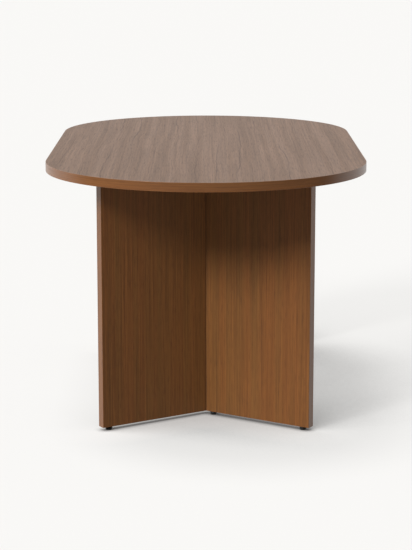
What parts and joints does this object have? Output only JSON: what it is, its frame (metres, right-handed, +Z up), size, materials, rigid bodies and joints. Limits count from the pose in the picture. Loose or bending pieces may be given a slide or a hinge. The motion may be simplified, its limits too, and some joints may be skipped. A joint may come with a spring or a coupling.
{
  "type": "dining table",
  "caption": "Veneered dining table with a racetrack-shaped top on V-shaped bases of mitred panels, on levelling feet.",
  "frame": {"origin": "on the floor under the middle of the table top", "axes": "+Z up, Y along the table's length, X across its width; the front end, nearest the camera in the picture, is at -Y"},
  "size_m": [0.9, 1.5996, 0.74],
  "materials": {
    "top_veneer": "satin lacquered walnut veneer",
    "panel_veneer": "satin lacquered walnut veneer, grain upright",
    "edge_veneer": "satin lacquered walnut edge banding",
    "board": "raw medium-density board",
    "beech": "plain beech",
    "zinc": "zinc plated",
    "black_zinc": "black zinc plated",
    "black_plastic": "moulded, matt",
    "brown_plastic": "moulded, matt"
  },
  "bodies": {
    "table": {"top_core": "board", "top_face_veneer": "top_veneer", "top_backing_veneer": "top_veneer", "top_edge_band": "edge_veneer", "front_left_panel_core": "board", "front_left_inner_veneer": "panel_veneer", "front_left_outer_veneer": "panel_veneer", "front_left_end_band": "edge_veneer", "front_left_bottom_band": "edge_veneer", "front_right_panel_core": "board", "front_right_inner_veneer": "panel_veneer", "front_right_outer_veneer": "panel_veneer", "front_right_end_band": "edge_veneer", "front_right_bottom_band": "edge_veneer", "rear_left_panel_core": "board", "rear_left_inner_veneer": "panel_veneer", "rear_left_outer_veneer": "panel_veneer", "rear_left_end_band": "edge_veneer", "rear_left_bottom_band": "edge_veneer", "rear_right_panel_core": "board", "rear_right_inner_veneer": "panel_veneer", "rear_right_outer_veneer": "panel_veneer", "rear_right_end_band": "edge_veneer", "rear_right_bottom_band": "edge_veneer", "front_mitre_tongue": "beech", "front_dowels": "beech", "front_cam_housings": "zinc", "front_cam_bolts": "zinc", "front_cam_caps": "brown_plastic", "front_foot_inserts": "zinc", "rear_mitre_tongue": "beech", "rear_dowels": "beech", "rear_cam_housings": "zinc", "rear_cam_bolts": "zinc", "rear_cam_caps": "brown_plastic", "rear_foot_inserts": "zinc"},
    "front_left_foot_pad": {"front_left_foot_pad": "black_plastic"},
    "front_left_foot_stem": {"front_left_foot_stem": "black_zinc"},
    "front_middle_foot_pad": {"front_middle_foot_pad": "black_plastic"},
    "front_middle_foot_stem": {"front_middle_foot_stem": "black_zinc"},
    "front_right_foot_pad": {"front_right_foot_pad": "black_plastic"},
    "front_right_foot_stem": {"front_right_foot_stem": "black_zinc"},
    "rear_left_foot_pad": {"rear_left_foot_pad": "black_plastic"},
    "rear_left_foot_stem": {"rear_left_foot_stem": "black_zinc"},
    "rear_middle_foot_pad": {"rear_middle_foot_pad": "black_plastic"},
    "rear_middle_foot_stem": {"rear_middle_foot_stem": "black_zinc"},
    "rear_right_foot_pad": {"rear_right_foot_pad": "black_plastic"},
    "rear_right_foot_stem": {"rear_right_foot_stem": "black_zinc"}
  },
  "joints": [
    {"name": "front_left_foot_rise", "type": "slide", "parent": "table", "child": "front_left_foot_pad", "axis": [0, 0, -1], "range_m": [0, 0.012]},
    {"name": "front_left_foot_turn", "type": "hinge", "parent": "front_left_foot_pad", "child": "front_left_foot_stem", "pos_m": [-0.2722, -0.50859, 0.01], "axis": [0, 0, -1], "range_deg": [0, 3460]},
    {"name": "front_middle_foot_rise", "type": "slide", "parent": "table", "child": "front_middle_foot_pad", "axis": [0, 0, -1], "range_m": [0, 0.012]},
    {"name": "front_middle_foot_turn", "type": "hinge", "parent": "front_middle_foot_pad", "child": "front_middle_foot_stem", "pos_m": [0.02193, -0.34915, 0.01], "axis": [0, 0, -1], "range_deg": [0, 3460]},
    {"name": "front_right_foot_rise", "type": "slide", "parent": "table", "child": "front_right_foot_pad", "axis": [0, 0, -1], "range_m": [0, 0.012]},
    {"name": "front_right_foot_turn", "type": "hinge", "parent": "front_right_foot_pad", "child": "front_right_foot_stem", "pos_m": [0.2722, -0.50859, 0.01], "axis": [0, 0, -1], "range_deg": [0, 3460]},
    {"name": "rear_left_foot_rise", "type": "slide", "parent": "table", "child": "rear_left_foot_pad", "axis": [0, 0, -1], "range_m": [0, 0.012]},
    {"name": "rear_left_foot_turn", "type": "hinge", "parent": "rear_left_foot_pad", "child": "rear_left_foot_stem", "pos_m": [-0.2722, 0.50859, 0.01], "axis": [0, 0, -1], "range_deg": [0, 3460]},
    {"name": "rear_middle_foot_rise", "type": "slide", "parent": "table", "child": "rear_middle_foot_pad", "axis": [0, 0, -1], "range_m": [0, 0.012]},
    {"name": "rear_middle_foot_turn", "type": "hinge", "parent": "rear_middle_foot_pad", "child": "rear_middle_foot_stem", "pos_m": [-0.02193, 0.34915, 0.01], "axis": [0, 0, -1], "range_deg": [0, 3460]},
    {"name": "rear_right_foot_rise", "type": "slide", "parent": "table", "child": "rear_right_foot_pad", "axis": [0, 0, -1], "range_m": [0, 0.012]},
    {"name": "rear_right_foot_turn", "type": "hinge", "parent": "rear_right_foot_pad", "child": "rear_right_foot_stem", "pos_m": [0.2722, 0.50859, 0.01], "axis": [0, 0, -1], "range_deg": [0, 3460]}
  ],
  "couplings": [
    {"joint": "front_left_foot_turn", "follows": "front_left_foot_rise", "rad_per_m": 5026.5},
    {"joint": "front_middle_foot_turn", "follows": "front_middle_foot_rise", "rad_per_m": 5026.5},
    {"joint": "front_right_foot_turn", "follows": "front_right_foot_rise", "rad_per_m": 5026.5},
    {"joint": "rear_left_foot_turn", "follows": "rear_left_foot_rise", "rad_per_m": 5026.5},
    {"joint": "rear_middle_foot_turn", "follows": "rear_middle_foot_rise", "rad_per_m": 5026.5},
    {"joint": "rear_right_foot_turn", "follows": "rear_right_foot_rise", "rad_per_m": 5026.5}
  ]
}
